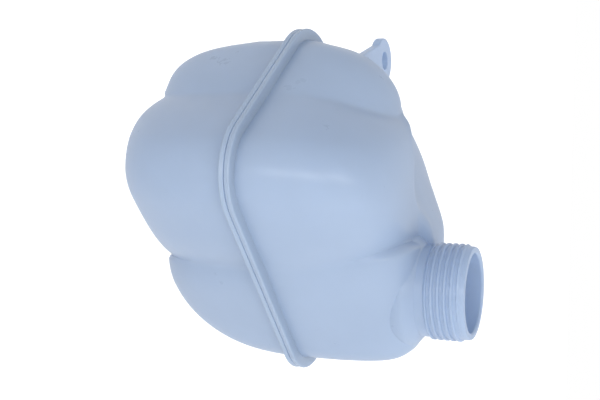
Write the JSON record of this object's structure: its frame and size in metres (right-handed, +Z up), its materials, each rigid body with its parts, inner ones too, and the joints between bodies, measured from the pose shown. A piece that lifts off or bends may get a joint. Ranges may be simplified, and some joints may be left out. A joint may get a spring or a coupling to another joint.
{
  "type": "coolant expansion tank",
  "caption": "Translucent welded coolant expansion tank for an engine bay, with lobed baffled chambers, a threaded filler neck, a fixing lug and hose nipples.",
  "frame": {"origin": "centre of the filler neck's mouth", "axes": "+Z up along the filler neck, out of its mouth; +X from the tail towards the neck end; -Y the front lobe, +Y the side of the lug and hose nipples"},
  "size_m": [0.187, 0.1975, 0.18],
  "materials": {
    "polypropylene": "translucent natural polypropylene, satin mould skin"
  },
  "bodies": {
    "root": {"lower_shell": "polypropylene", "upper_shell": "polypropylene"}
  },
  "joints": []
}
